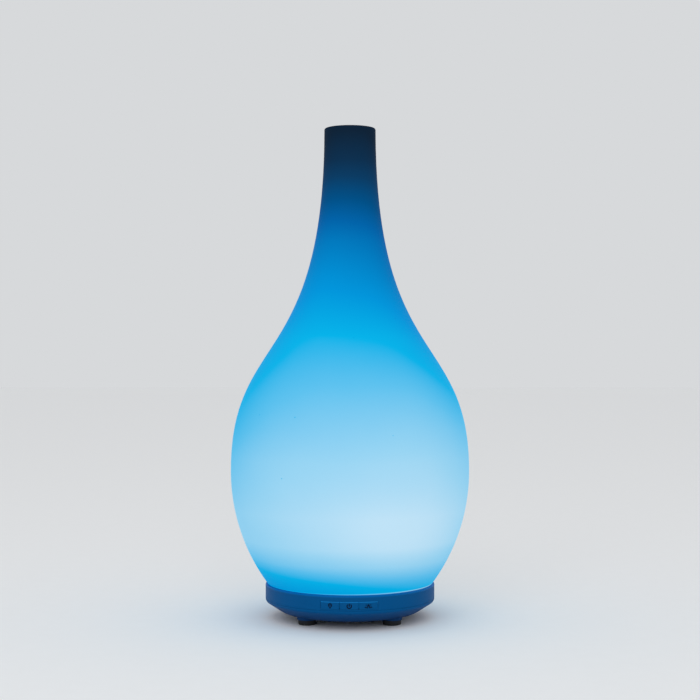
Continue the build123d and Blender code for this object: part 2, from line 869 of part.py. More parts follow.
with BuildPart() as fan_rotor:
    with BuildSketch(Plane.XY.offset(hub_low_z)):
        with Locations((-fan_x, 0)):
            Circle(hub_radius)
    extrude(amount=hub_height)
    fillet(fan_rotor.edges().group_by(Axis.Z)[0], hub_wall / 2)
    with BuildSketch(Plane.XY.offset(hub_low_z + hub_wall)):
        with Locations((-fan_x, 0)):
            Circle(hub_radius - hub_wall)
    extrude(amount=hub_height, mode=Mode.SUBTRACT)
    with BuildSketch(Plane.XY.offset(hub_low_z)):
        with Locations((-fan_x, 0)):
            Circle(fan_shaft_radius)
    extrude(amount=hub_wall, mode=Mode.SUBTRACT)
    # Twisted blades, steeper at the hub than at the tip
    for blade in range(blade_count):
        turn = 360 / blade_count * blade
        for radius, pitch in ((hub_radius - hub_wall / 2, root_pitch), (blade_radius, tip_pitch)):
            out = Vector(*polar(1, turn))
            middle_z = blade_low_z + blade_chord * sin(radians(root_pitch)) / 2
            middle = Vector(-fan_x, 0, middle_z) + out * radius
            with BuildSketch(Plane(middle, x_dir=out.cross(Vector(0, 0, 1)), z_dir=out)):
                SlotOverall(blade_chord, blade_thickness, rotation=pitch)
        loft()
finish(fan_rotor.part, "fan_rotor")

with BuildPart() as fan_shaft:
    with BuildSketch(Plane.XY.offset(hub_low_z)):
        with Locations((-fan_x, 0)):
            Circle(fan_shaft_radius)
    extrude(amount=fan_top_z - motor_plate - hub_low_z)
finish(fan_shaft.part, "fan_shaft")

with BuildPart() as fan_coil:
    with BuildSketch(Plane.XY.offset(fan_top_z - motor_plate)):
        with Locations((-fan_x, 0)):
            Circle(coil_radius * 0.7)
            with PolarLocations(coil_radius * 0.7, coil_pole_count):
                Circle(coil_radius * 0.3)
            Circle(bearing_radius + bore_gap, mode=Mode.SUBTRACT)
    extrude(amount=-coil_height)
finish(fan_coil.part, "fan_coil")

hood_radius = fan_bore - fit_gap

with BuildPart() as fan_hood:
    with BuildSketch(Plane.XY.offset(fan_top_z)):
        with Locations((-fan_x, 0)):
            RectangleRounded(fan_size, fan_size, fan_corner)
        with Locations(*fan_screw_places):
            Circle(small_screw_radius + bore_gap, mode=Mode.SUBTRACT)
    extrude(amount=hood_wall)
    with BuildSketch(Plane.XY.offset(fan_top_z)):
        with Locations((-fan_x, 0)):
            Circle(hood_radius)
        with Locations((-column_x, 0)):
            Circle(spout_outer + hood_wall)
        make_hull()
    extrude(amount=hood_wall + hood_height)
    with BuildSketch(Plane.XY.offset(fan_top_z)):
        with Locations((-fan_x, 0)):
            Circle(hood_radius - hood_wall)
        with Locations((-column_x, 0)):
            Circle(spout_outer - spout_wall)
        make_hull()
    extrude(amount=hood_height, mode=Mode.SUBTRACT)
    with BuildSketch(Plane.XY.offset(hood_top_z)):
        with Locations((-column_x, 0)):
            Circle(spout_outer)
    extrude(amount=spout_rise)
    with BuildSketch(Plane.XY.offset(hood_top_z - hood_wall)):
        with Locations((-column_x, 0)):
            Circle(spout_outer - spout_wall)
    extrude(amount=hood_wall + spout_rise, mode=Mode.SUBTRACT)
finish(fan_hood.part, "fan_hood")

fan_screws = make_screws(
    fan_screw_places,
    fan_top_z + hood_wall,
    small_screw_radius,
    small_screw_head,
    small_screw_head_height,
    hood_wall + fan_depth + case_wall - rest_gap,
    -1,
)
finish(fan_screws, "fan_screws")

# ---------------------------------------------------------------- control board

with BuildPart() as control_board:
    with BuildSketch(Plane.XY.offset(board_low_z)):
        with Locations(((board_left + board_right) / 2, 0)):
            RectangleRounded(board_right - board_left, 2 * board_half_depth, free_gap)
        with Locations((0, (board_half_depth + tongue_end) / 2 - free_gap)):
            Rectangle(2 * tongue_half_width, tongue_end - board_half_depth + 2 * free_gap)
        with Locations(*board_screw_places):
            Circle(small_screw_radius + bore_gap, mode=Mode.SUBTRACT)
    extrude(amount=board_thickness)
finish(control_board.part, "control_board")

board_screws = make_screws(
    board_screw_places,
    board_top_z,
    small_screw_radius,
    small_screw_head,
    small_screw_head_height,
    board_thickness + (board_low_z - floor_top_z) - rest_gap,
    -1,
)
finish(board_screws, "board_screws")

# Parts on the board stand clear of the round space under the transducer
clear_radius = clamp_screw_circle + clamp_ear_radius

with BuildPart() as controller_chip:
    with Locations((clear_radius / 3, -clear_radius / 3, board_top_z + chip_size[2] / 2)):
        Box(*chip_size)
finish(controller_chip.part, "controller_chip")

choke_place = (clear_radius + coil_choke_radius + free_gap, board_half_depth / 2 - coil_choke_shift)

with BuildPart() as choke:
    with BuildSketch(Plane.XY.offset(board_top_z)):
        with Locations(choke_place):
            Circle(coil_choke_radius)
    extrude(amount=coil_choke_height)
    with BuildSketch(Plane.XY.offset(board_top_z + coil_choke_height / 4)):
        with Locations(choke_place):
            Circle(coil_choke_radius)
            Circle(coil_choke_radius * 0.8, mode=Mode.SUBTRACT)
    extrude(amount=coil_choke_height / 2, mode=Mode.SUBTRACT)
finish(choke.part, "choke")

with BuildPart() as capacitors:
    capacitor_y = 4 * capacitor_radius / 3
    with BuildSketch(Plane.XY.offset(board_top_z)):
        with Locations(*[(board_right - 2 * capacitor_radius, y) for y in (-capacitor_y, capacitor_y)]):
            Circle(capacitor_radius)
    extrude(amount=capacitor_height)
    fillet(capacitors.edges().group_by(Axis.Z)[-1], capacitor_radius / 6)
finish(capacitors.part, "capacitors")

heat_sink_x = clear_radius + heat_sink_size[0] / 2 + free_gap
heat_sink_y = -board_half_depth + heat_sink_size[1] / 2 + free_gap

with BuildPart() as heat_sink:
    with BuildSketch(Plane.XY.offset(board_top_z)):
        with Locations((heat_sink_x, heat_sink_y)):
            Rectangle(heat_sink_size[0], heat_sink_size[1])
        fin_space = (heat_sink_size[1] - heat_sink_base) / heat_sink_fin_count
        for gap in range(heat_sink_fin_count):
            middle = heat_sink_y - heat_sink_size[1] / 2 + heat_sink_base + fin_space * (gap + 0.3)
            with Locations((heat_sink_x + heat_sink_base, middle)):
                Rectangle(heat_sink_size[0], fin_space * 0.6, mode=Mode.SUBTRACT)
    extrude(amount=heat_sink_size[2])
finish(heat_sink.part, "heat_sink")

with BuildPart() as driver_transistor:
    with Locations(
        (
            heat_sink_x - heat_sink_size[0] / 2 - transistor_size[0] / 2,
            heat_sink_y,
            board_top_z + transistor_size[2] / 2,
        )
    ):
        Box(*transistor_size)
finish(driver_transistor.part, "driver_transistor")

with BuildPart() as wire_headers:
    header_x = board_left + header_size[0] / 2 + rest_gap
    header_rows = [header_spacing * (i - (header_count - 1) / 2) for i in range(header_count)]
    with Locations(*[(header_x, y, board_top_z + header_size[2] / 2) for y in header_rows]):
        Box(*header_size)
    with BuildSketch(Plane.XY.offset(board_top_z + header_size[2])):
        with Locations(*[(header_x, y) for y in header_rows]):
            Rectangle(header_size[0] - 2 * header_wall, header_size[1] - 2 * header_wall)
    extrude(amount=-header_size[2] * 0.7, mode=Mode.SUBTRACT)
finish(wire_headers.part, "wire_headers")

# ---------------------------------------------------------------- power inlet

with BuildPart() as power_inlet:
    with Locations((0, inlet_face_y - inlet_depth / 2, (board_top_z + inlet_high_z) / 2)):
        Box(inlet_width, inlet_depth, inlet_high_z - board_top_z)
    with BuildSketch(Plane.XZ.offset(-inlet_face_y)):
        with Locations((0, inlet_z)):
            Circle(inlet_nose_radius)
    extrude(amount=-(inlet_nose_y - inlet_face_y))
    with BuildSketch(Plane.XZ.offset(-inlet_nose_y)):
        with Locations((0, inlet_z)):
            Circle(inlet_bore)
    extrude(amount=inlet_bore_depth, mode=Mode.SUBTRACT)
    with BuildSketch(Plane.XZ.offset(-inlet_nose_y)):
        with Locations((0, inlet_z)):
            Circle(inlet_pin_radius + bore_gap)
    extrude(amount=inlet_bore_depth + case_wall, mode=Mode.SUBTRACT)
finish(power_inlet.part, "power_inlet")

with BuildPart() as inlet_pin:
    with BuildSketch(Plane.XZ.offset(-(inlet_nose_y - case_wall))):
        with Locations((0, inlet_z)):
            Circle(inlet_pin_radius)
    extrude(amount=inlet_bore_depth - bore_gap)
    fillet(inlet_pin.edges().group_by(Axis.Y)[-1], inlet_pin_radius / 3)
finish(inlet_pin.part, "inlet_pin")
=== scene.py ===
# %% [markdown]
# # A cool mist humidifier with a lit glass shade
# The construction model gives every piece its shape and place. Here each piece gets its finish, the keys get
# their marks, and a plain studio is set up round them. We work in metres, with the front of the humidifier
# facing -Y and its axis on Z.

# %% The frame
from math import cos, hypot, radians, sin, sqrt

import bmesh
import bpy
from mathutils import Matrix, Vector


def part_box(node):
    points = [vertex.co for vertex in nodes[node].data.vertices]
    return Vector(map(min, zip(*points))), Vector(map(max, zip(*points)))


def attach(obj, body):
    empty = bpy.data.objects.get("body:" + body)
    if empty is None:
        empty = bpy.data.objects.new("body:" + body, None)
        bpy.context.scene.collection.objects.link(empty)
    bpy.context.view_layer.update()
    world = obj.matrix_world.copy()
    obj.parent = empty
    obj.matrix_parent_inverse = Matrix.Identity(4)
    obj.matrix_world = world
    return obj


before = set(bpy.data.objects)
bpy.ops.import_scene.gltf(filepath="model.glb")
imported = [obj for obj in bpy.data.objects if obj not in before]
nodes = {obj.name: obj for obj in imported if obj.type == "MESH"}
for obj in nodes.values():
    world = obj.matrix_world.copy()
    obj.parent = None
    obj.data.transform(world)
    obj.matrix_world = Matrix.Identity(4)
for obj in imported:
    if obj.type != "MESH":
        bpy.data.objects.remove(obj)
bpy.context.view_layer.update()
print(len(nodes), "pieces from the construction model")

# %% [markdown]
# Places are measured on the pieces themselves, so that the finishes and marks follow when a piece changes. A key
# has a flange behind the casing, which reaches a little above and below the part of the key that shows.

# %% Places read from the pieces
MM = 0.001
glass_pieces = [name for name in nodes if name.startswith("glass_")]
foot_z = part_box("glass_shade")[0][2]
rim_z = max(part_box(name)[1][2] for name in glass_pieces)
key_low, key_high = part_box("power_button")
key_face_radius = -key_low[1]
flange_height = 0.8 * MM
key_top_z = key_high[2] - flange_height
key_foot_z = key_low[2] + flange_height
key_middle_z = (key_low[2] + key_high[2]) / 2
print("shade from", round(foot_z / MM, 1), "to", round(rim_z / MM, 1), "mm")
print("key faces at a radius of", round(key_face_radius / MM, 2), "mm")

# %% [markdown]
# ## Helpers for finishes
# A finish is a small network of nodes round one Principled shader. It could be wired by hand in the shader editor,
# but forty pieces need many finishes that differ in little. So each helper here adds one node and hands back its
# output, and a finish reads like a formula. Colours are written as on a colour chart, from 0 to 255, and changed
# to the linear values that Blender works in.

# %% Colours
def chart(red, green, blue):
    """A colour chart value as linear light."""
    channels = []
    for value in (red, green, blue):
        share = value / 255
        channels.append(share / 12.92 if share <= 0.04045 else ((share + 0.055) / 1.055) ** 2.4)
    return (*channels, 1.0)


# %% A new finish
def new_finish(name, roughness, ior_level=0.4):
    """A material with a Principled shader; hands back the material, its tree and the shader."""
    material = bpy.data.materials.new(name)
    material.use_nodes = True
    shader = material.node_tree.nodes["Principled BSDF"]
    shader.inputs["Roughness"].default_value = roughness
    shader.inputs["Specular IOR Level"].default_value = ior_level
    return material, material.node_tree, shader


def feed(tree, value, socket):
    """Sets a socket to a value, or links another node's output to it."""
    if isinstance(value, bpy.types.NodeSocket):
        tree.links.new(value, socket)
    else:
        socket.default_value = value[:3] if socket.type == "VECTOR" else value


def put_on(material, *names):
    """Gives the finish to pieces of the construction model."""
    for name in names:
        mesh = nodes[name].data
        mesh.materials.clear()
        mesh.materials.append(material)
    print(material.name, "on", ", ".join(names))


# %% Sums with numbers and vectors
def maths(tree, operation, *values, clamp=False):
    """One step of arithmetic."""
    node = tree.nodes.new("ShaderNodeMath")
    node.operation = operation
    node.use_clamp = clamp
    for value, socket in zip(values, node.inputs):
        feed(tree, value, socket)
    return node.outputs[0]


def vectors(tree, operation, first, second=None):
    """One step of arithmetic on vectors or colours; second is a number for SCALE."""
    node = tree.nodes.new("ShaderNodeVectorMath")
    node.operation = operation
    feed(tree, first, node.inputs[0])
    if second is not None:
        feed(tree, second, node.inputs["Scale"] if operation == "SCALE" else node.inputs[1])
    return node.outputs["Value"] if operation in ("DOT_PRODUCT", "LENGTH") else node.outputs["Vector"]


# %% Ramps
def ramp(tree, factor, stops):
    """A ramp through the stops, each a position from 0 to 1 and a colour or a grey."""
    node = tree.nodes.new("ShaderNodeValToRGB")
    elements = node.color_ramp.elements
    while len(elements) < len(stops):
        elements.new(0.5)
    # A stop that moves past another changes their order, so colours wait until all are in place
    for element, (position, _) in zip(elements, sorted(stops)):
        element.position = position
    for element, (_, colour) in zip(elements, sorted(stops)):
        element.color = colour if isinstance(colour, tuple) else (colour, colour, colour, 1)
    feed(tree, factor, node.inputs["Fac"])
    return node.outputs["Color"]


def between(tree, value, start, end):
    """Runs smoothly from 0 at start to 1 at end."""
    node = tree.nodes.new("ShaderNodeMapRange")
    node.interpolation_type = "SMOOTHSTEP"
    feed(tree, value, node.inputs["Value"])
    node.inputs["From Min"].default_value = start
    node.inputs["From Max"].default_value = end
    return node.outputs["Result"]


# %% Places and noise
def place(tree):
    """The place on the piece, in metres."""
    return tree.nodes.new("ShaderNodeTexCoord").outputs["Object"]


def axes(tree, point):
    """The x, y and z of a place or direction."""
    node = tree.nodes.new("ShaderNodeSeparateXYZ")
    feed(tree, point, node.inputs[0])
    return node.outputs


def noise(tree, point, size, detail=2.0):
    """Soft noise from 0 to 1, with patches about as wide as size, in metres."""
    node = tree.nodes.new("ShaderNodeTexNoise")
    feed(tree, point, node.inputs["Vector"])
    node.inputs["Scale"].default_value = 1 / size
    node.inputs["Detail"].default_value = detail
    return node.outputs["Fac"]


# %% [markdown]
# Noise is 0.5 on average. Spread evenly round a middle value it varies a colour, a gloss or a glow without
# making it brighter or darker as a whole.

# %% Surface helpers
def vary(tree, value, spread, middle=1.0):
    """Spreads noise from 0 to 1 round a middle value."""
    return maths(tree, "MULTIPLY_ADD", value, spread, middle - spread / 2)


def roughen(tree, shader, height, depth, strength=0.3):
    """Bump of the given depth, in metres, from a height that runs from 0 to 1."""
    node = tree.nodes.new("ShaderNodeBump")
    node.inputs["Strength"].default_value = strength
    node.inputs["Distance"].default_value = depth
    feed(tree, height, node.inputs["Height"])
    feed(tree, node.outputs["Normal"], shader.inputs["Normal"])


def glow(tree, shader, colour, strength):
    """Lets a finish give off light of its own."""
    feed(tree, colour, shader.inputs["Emission Color"])
    shader.inputs["Emission Strength"].default_value = strength


# %% [markdown]
# ## The frosted glass shade
# The real shade is etched glass over a ring of blue lamps, so it glows: nearly white low on the bulb, where the
# lamps are close, then cyan, blue and navy up the neck. Lighting it with real lamps through glass would be slow
# and noisy. We give the glass a glow level that depends on the height, and one ramp turns the level into a
# colour, because the same row of blues comes back wherever the light gets weaker.

# %% Glow by height and glow colour by level
# Heights are in millimetres above the table.
glow_by_height = [
    (24, 0.66), (30, 0.70), (43, 0.81), (55, 0.86), (75, 0.87), (110, 0.845), (150, 0.78), (190, 0.71),
    (255, 0.465), (285, 0.31), (310, 0.18), (333, 0.125),
]
glow_colour_by_level = [
    (0.13, chart(15, 35, 55)), (0.24, chart(10, 60, 100)), (0.32, chart(0, 80, 135)), (0.40, chart(0, 100, 170)),
    (0.60, chart(0, 150, 220)), (0.71, chart(5, 180, 235)), (0.765, chart(95, 195, 240)),
    (0.84, chart(155, 215, 245)), (0.90, chart(195, 230, 250)),
]
print("glow from", glow_by_height[0], "to", glow_by_height[-1], "in", len(glow_colour_by_level), "tints")


def by_height(tree, z, stops):
    """A ramp up the humidifier, from stops that give a height in millimetres and a value or colour."""
    return ramp(tree, maths(tree, "DIVIDE", z, rim_z), [(height * MM / rim_z, value) for height, value in stops])


# %% [markdown]
# The glow isn't the same all round. The bulb is a touch brighter on the right and the neck on the left. The
# sides are painted darker than the front, a painted shade that is fixed on the glass, so it stays in place when
# the glass is seen from the side. Three of the lamps shine a little stronger than the rest, which gives soft
# patches low on the bulb. All of this is added to the level before it becomes a colour, so that a brighter place
# also gets the whiter blue that goes with it.

# %% Glow round the glass
lean_by_height = [(26, 0.05), (50, 0.02), (130, 0.02), (230, -0.035), (310, 0.0)]
# Painted shade: how much darker the sides are painted than the front, by height.
painted_side_shade_by_height = [(26, 0.0), (45, 0.035), (110, 0.065), (190, 0.09), (240, 0.055), (295, 0.02)]
painted_side_shade_sharpness = 4.0
patches = [(24, 62 * MM, 0.03), (144, 62 * MM, 0.025), (-96, 58 * MM, 0.025)]  # bearing, height, strength
patch_spread = radians(28)
patch_height = 18 * MM
print(len(patches), "soft patches of light")


def signed_by_height(tree, z, stops):
    """Like by_height, for values that may be below 0, which a ramp can't hold."""
    lift = 0.5
    lifted = by_height(tree, z, [(height, value + lift) for height, value in stops])
    return maths(tree, "SUBTRACT", lifted, lift)


def patch(tree, around, z, bearing, height):
    """A soft bright patch on the glass, at a bearing in degrees from the front towards the right."""
    towards = (sin(radians(bearing)), -cos(radians(bearing)), 0)
    facing = maths(tree, "MAXIMUM", vectors(tree, "DOT_PRODUCT", around, towards), 0.0)
    sideways = maths(tree, "POWER", facing, 1 / patch_spread**2)
    offset = maths(tree, "DIVIDE", maths(tree, "SUBTRACT", z, height), patch_height)
    upright = maths(tree, "EXPONENT", maths(tree, "MULTIPLY", maths(tree, "MULTIPLY", offset, offset), -0.5))
    return maths(tree, "MULTIPLY", sideways, upright)


# %% Level of the glow
glass, tree, shader = new_finish("frosted_glass", roughness=0.55, ior_level=0.01)
point = place(tree)
z = axes(tree, point)[2]
around = vectors(tree, "NORMALIZE", vectors(tree, "MULTIPLY", point, (1, 1, 0)))
side = axes(tree, around)[0]

level = by_height(tree, z, glow_by_height)
level = maths(tree, "MULTIPLY_ADD", side, signed_by_height(tree, z, lean_by_height), level)
for bearing, height, strength in patches:
    level = maths(tree, "MULTIPLY_ADD", patch(tree, around, z, bearing, height), strength, level)
# The painted shade on the sides, taken off the glow level.
painted_side_shade = maths(tree, "POWER", maths(tree, "ABSOLUTE", side), painted_side_shade_sharpness)
painted_side_shade = maths(tree, "MULTIPLY", painted_side_shade, by_height(tree, z, painted_side_shade_by_height))
level = maths(tree, "SUBTRACT", level, painted_side_shade)
print("glow level:", len(tree.nodes), "nodes so far")

# %% [markdown]
# The cut edge at the foot catches the light of the lamps as a thin line, most of all on the right. The etched
# surface has a fine grain, faint clouds and a few tiny specks.

# %% Foot, grain and specks
edge_glow = 0.1
edge_lean = 0.06
speck_size = 16 * MM
foot_edge = between(tree, z, foot_z + 1.1 * MM, foot_z + 0.2 * MM)
edge_gain = maths(tree, "MULTIPLY_ADD", side, edge_lean, edge_glow)
level = maths(tree, "MULTIPLY_ADD", foot_edge, edge_gain, level)
cloud = vary(tree, noise(tree, point, 45 * MM), spread=0.012, middle=0.0)
grain = noise(tree, point, 0.5 * MM, detail=3)
level = maths(tree, "ADD", maths(tree, "ADD", level, cloud), vary(tree, grain, spread=0.008, middle=0.0))
speck_cells = tree.nodes.new("ShaderNodeTexVoronoi")
feed(tree, point, speck_cells.inputs["Vector"])
speck_cells.inputs["Scale"].default_value = 1 / speck_size
specks = between(tree, speck_cells.outputs["Distance"], 0.03, 0.018)
level = maths(tree, "SUBTRACT", level, maths(tree, "MULTIPLY", specks, 0.1), clamp=True)
print("foot, grain and specks:", len(tree.nodes), "nodes so far")

# %% [markdown]
# Part of the colour comes from the glow and part from light that falls on the glass, so that the round form
# still reads. The glass's own colour is painted with the glow colour too, so the lamps' blue and the navy of the
# dim neck are painted light in its surface colour as well.

# %% Frosted glass
glow_share = 0.72
glow_colour = ramp(tree, level, glow_colour_by_level)
# The glass's own colour takes the glow colour too: painted light in its surface colour.
feed(tree, vectors(tree, "SCALE", glow_colour, 1 - glow_share), shader.inputs["Base Color"])
glow(tree, shader, glow_colour, glow_share)
roughen(tree, shader, grain, 0.05 * MM, strength=0.15)
put_on(glass, *glass_pieces)

# %% [markdown]
# ## Moulded plastic
# The casing is satin plastic, with a fine even grain that the mould leaves and a slightly cloudy colour. Modelling
# the grain would take millions of faces, and a painted image would show its seams. Noise has neither fault: it
# gives a shallow bump, and varies the gloss and the colour a little. One helper makes all the plastics, each with
# its own colour and gloss.

# %% Moulded plastics
def plastic(name, colour, roughness, grain_size=0.35 * MM, depth=0.02 * MM, cloudiness=0.08, ior_level=0.4):
    """Moulded plastic of one colour, or of a colour that a function makes from the place on the piece."""
    material, tree, shader = new_finish(name, roughness, ior_level)
    point = place(tree)
    base = colour(tree, point) if callable(colour) else colour
    cloud = vary(tree, noise(tree, point, 12 * MM), cloudiness)
    feed(tree, vectors(tree, "SCALE", base, cloud), shader.inputs["Base Color"])
    fine = noise(tree, point, grain_size, detail=3)
    feed(tree, vary(tree, fine, spread=0.12, middle=roughness), shader.inputs["Roughness"])
    roughen(tree, shader, fine, depth)
    return material, tree, shader


# %% [markdown]
# The casing gets most of its light from the glass above, and its colour is painted light: its blue stands for the
# blue light of the glass on the plastic, a painted shade darkens it towards the table, and a painted glow lightens
# its edge just under the glass. Both casing pieces share one frame, so one ramp up the height runs over the joint
# between them without a step.

# %% Casing
# Painted light and shade: blue light of the glass on the wall, darker shade towards the table, glow on the top
# edge.
wall_painted_glow_blue = chart(0, 80, 135)
dish_painted_shade_blue = chart(0, 75, 130)
dish_painted_shadow_navy = chart(15, 60, 110)
edge_painted_glow_blue = chart(0, 115, 190)
foot_level = foot_z / MM
casing_painted_light_by_height = [
    (5, dish_painted_shadow_navy), (10, dish_painted_shade_blue), (13, wall_painted_glow_blue), (foot_level - 0.8, wall_painted_glow_blue), (foot_level - 0.3, edge_painted_glow_blue),
]


def casing_painted_light(tree, point):
    """Painted light and shade: navy shade at the foot of the dish, the glass's blue light on the wall, and a
    painted glow on the edge just under the glass.
    """
    return by_height(tree, axes(tree, point)[2], casing_painted_light_by_height)


casing, *_ = plastic("casing_blue", casing_painted_light, roughness=0.48, ior_level=0.05)
put_on(casing, "upper_housing", "bottom_cover")

# %% [markdown]
# The keys are the same plastic, with the same painted blue light and shade. Their upper edge catches the light of
# the glass above as a thin, slightly uneven line, and their lower edge a little light from the table. A lamp would
# have to stand in just the right place to show that on so thin an edge, so the key finish adds a faint painted
# glow on both edges instead.

# %% Keys
painted_edge_light_blue = chart(25, 130, 200)
keys_blue, tree, shader = plastic("key_blue", casing_painted_light, roughness=0.42, ior_level=0.05)
point = place(tree)
z = axes(tree, point)[2]
# Painted highlights: a thin line of glow on the upper edge and a fainter one on the lower edge.
upper_painted_highlight = between(tree, z, key_top_z - 0.3 * MM, key_top_z - 0.15 * MM)
lower_painted_highlight = between(tree, z, key_foot_z + 0.35 * MM, key_foot_z + 0.1 * MM)
both_painted_highlights = maths(tree, "MULTIPLY_ADD", lower_painted_highlight, 0.3, upper_painted_highlight)
uneven = vary(tree, noise(tree, point, 2.2 * MM), spread=0.8)
glow(tree, shader, vectors(tree, "SCALE", painted_edge_light_blue, maths(tree, "MULTIPLY", both_painted_highlights, uneven)), 0.5)
put_on(keys_blue, "light_button", "power_button", "mist_button")

# %% [markdown]
# ## Pieces under the glass
# The tank, its cover and the spout are pale, glossier plastic that wipes clean. The light ring is milky and glows
# with the lamps below it. Glow in the finish does for both the lamps and the ring, and stays free of noise.

# %% Tank, cover and light ring
tank_white, *_ = plastic("tank_plastic", chart(206, 216, 222), roughness=0.34, cloudiness=0.05)
put_on(tank_white, "water_tank", "mist_cover", "mist_nozzle")
ring_milk, tree, shader = plastic("light_plastic", chart(176, 216, 238), roughness=0.4)
glow(tree, shader, chart(90, 190, 240), 0.35)
put_on(ring_milk, "light_ring")

# %% [markdown]
# The seal under the glass is clear silicone, which takes on the blue of the light round it. Only a hairline of it
# shows, so a painted blue and a faint painted glow, both standing in for that light, do as well as clear rubber,
# which would be slow to trace.

# %% Seals
seal_painted_blue_light, tree, shader = plastic("seal_silicone", chart(96, 170, 210), roughness=0.3, depth=0.01 * MM)
glow(tree, shader, chart(0, 150, 225), 0.35)
# Painted light: the seal's blue and glow stand for the light of the glass round it.
put_on(seal_painted_blue_light, "shade_seal")
silicone, *_ = plastic("clear_silicone", chart(190, 200, 204), roughness=0.3, depth=0.01 * MM)
put_on(silicone, "transducer_seal")

# %% [markdown]
# The small pieces inside are plain black or cream plastic, the usual colours for such parts. The feet are black
# rubber, which is duller and has a coarser grain.

# %% Small plastic and rubber pieces
header_cream, *_ = plastic("header_plastic", chart(222, 218, 204), roughness=0.4)
put_on(header_cream, "wire_headers")
dark_plastic, *_ = plastic("dark_plastic", chart(30, 32, 35), roughness=0.45)
put_on(dark_plastic, "controller_chip", "driver_transistor", "key_switches", "power_inlet")
put_on(dark_plastic, "fan_frame", "fan_hood", "fan_rotor")
rubber, *_ = plastic("black_rubber", chart(17, 20, 26), roughness=0.75, grain_size=0.6 * MM, depth=0.05 * MM)
put_on(rubber, "foot_pads")
lamp_yellow, tree, shader = plastic("lamp_body", chart(228, 232, 196), roughness=0.3)
glow(tree, shader, chart(120, 200, 255), 0.6)
put_on(lamp_yellow, "lamps")

# %% [markdown]
# ## Metals and boards
# Turned and drawn metal has fine lines in one direction. An anisotropic shader would stretch the highlights only,
# so the noise for metal is stretched instead, and it varies colour, gloss and bump together.

# %% Metals
def metal(name, colour, roughness, stretch=(1, 1, 8)):
    """Bare metal with fine lines; stretch says how many times finer the noise is along each axis."""
    material, tree, shader = new_finish(name, roughness)
    shader.inputs["Metallic"].default_value = 1
    lines = noise(tree, vectors(tree, "MULTIPLY", place(tree), stretch), 0.6 * MM, detail=4)
    feed(tree, vectors(tree, "SCALE", colour, vary(tree, lines, spread=0.2)), shader.inputs["Base Color"])
    feed(tree, vary(tree, lines, spread=0.2, middle=roughness), shader.inputs["Roughness"])
    roughen(tree, shader, lines, 0.01 * MM, strength=0.2)
    return material


steel = metal("screw_steel", chart(178, 180, 184), 0.3)
put_on(steel, "board_screws", "casing_screws", "clamp_screws", "fan_screws", "tank_screws")
put_on(steel, "fan_shaft", "level_probes", "transducer_clamp", "inlet_pin")
put_on(metal("alloy", chart(196, 199, 203), 0.38, stretch=(8, 1, 1)), "heat_sink", "capacitors")
put_on(metal("copper_wire", chart(184, 108, 62), 0.32, stretch=(1, 1, 14)), "choke", "fan_coil")
put_on(metal("disc_ceramic", chart(205, 200, 186), 0.42, stretch=(4, 4, 1)), "transducer_disc")

# %% [markdown]
# The circuit boards are lacquer over copper tracks, which stand out as paler lines. Single tracks aren't worth
# modelling inside a closed base, so the joints of a brick pattern stand in for them. Light from the lamps leaks
# into the space behind the keys, so the board there gets a faint painted glow and the gaps round the keys don't
# look black.

# %% Circuit boards
def board(name, colour, track, leak=0.0):
    """A lacquered board with paler tracks; leak is how strongly it glows with painted light that leaks in."""
    material, tree, shader = new_finish(name, roughness=0.3)
    # A painted glow for the light that leaks in, in the casing's painted blue.
    glow(tree, shader, wall_painted_glow_blue, leak)
    point = place(tree)
    tracks = tree.nodes.new("ShaderNodeTexBrick")
    feed(tree, point, tracks.inputs["Vector"])
    tracks.inputs["Scale"].default_value = 1 / (9 * MM)
    tracks.inputs["Mortar Size"].default_value = 0.035
    tracks.inputs["Color1"].default_value = colour
    tracks.inputs["Color2"].default_value = colour
    tracks.inputs["Mortar"].default_value = track
    cloud = vary(tree, noise(tree, point, 3 * MM), spread=0.16)
    feed(tree, vectors(tree, "SCALE", tracks.outputs["Color"], cloud), shader.inputs["Base Color"])
    roughen(tree, shader, tracks.outputs["Fac"], 0.03 * MM)
    return material


board_green = chart(22, 82, 52)
track_green = chart(58, 128, 84)
put_on(board("board_green", board_green, track_green), "control_board")
put_on(board("key_board_green", board_green, track_green, leak=1.0), "key_board")
put_on(board("board_white", chart(214, 218, 216), chart(186, 192, 192)), "lamp_board")

# %% [markdown]
# ## Marks on the keys
# Each key has a small printed mark: a lamp, the usual power sign, and a spray of mist. A mark could be an image on
# the key, but it would blur close up. A print has a real, if tiny, thickness, so we model each mark flat, then
# wrap it on the key's round face. A mark is a mesh of its own that rides on its key, so it moves when the key is
# pressed.

# %% Ink and sizes of the marks
stroke = 0.7 * MM
mark_thickness = 0.07 * MM
mark_sunk = 0.04 * MM
mark_z = key_middle_z - 0.15 * MM
print_ink, tree, shader = new_finish("printed_ink", roughness=0.6, ior_level=0.05)
ink_cloud = vary(tree, noise(tree, place(tree), 0.4 * MM), spread=0.4)
feed(tree, vectors(tree, "SCALE", chart(5, 10, 30), ink_cloud), shader.inputs["Base Color"])
print("marks", round(mark_z / MM, 2), "mm above the table, in strokes of", round(stroke / MM, 2), "mm")


# %% Flat shapes for the marks
def arc_band(mesh, centre, radius, width, start, end, steps):
    """A flat curved band from start to end, in degrees, spun from one short edge."""
    start_angle = radians(start)
    edge_ends = []
    for reach in (radius - width / 2, radius + width / 2):
        across = centre[0] + reach * cos(start_angle)
        up = centre[1] + reach * sin(start_angle)
        edge_ends.append(mesh.verts.new((across, 0, up)))
    edge = mesh.edges.new(edge_ends)
    bmesh.ops.spin(mesh, geom=[*edge_ends, edge], cent=(centre[0], 0, centre[1]), axis=(0, -1, 0),
                   dvec=(0, 0, 0), angle=radians(end) - start_angle, steps=steps, use_merge=False,
                   use_duplicate=False)


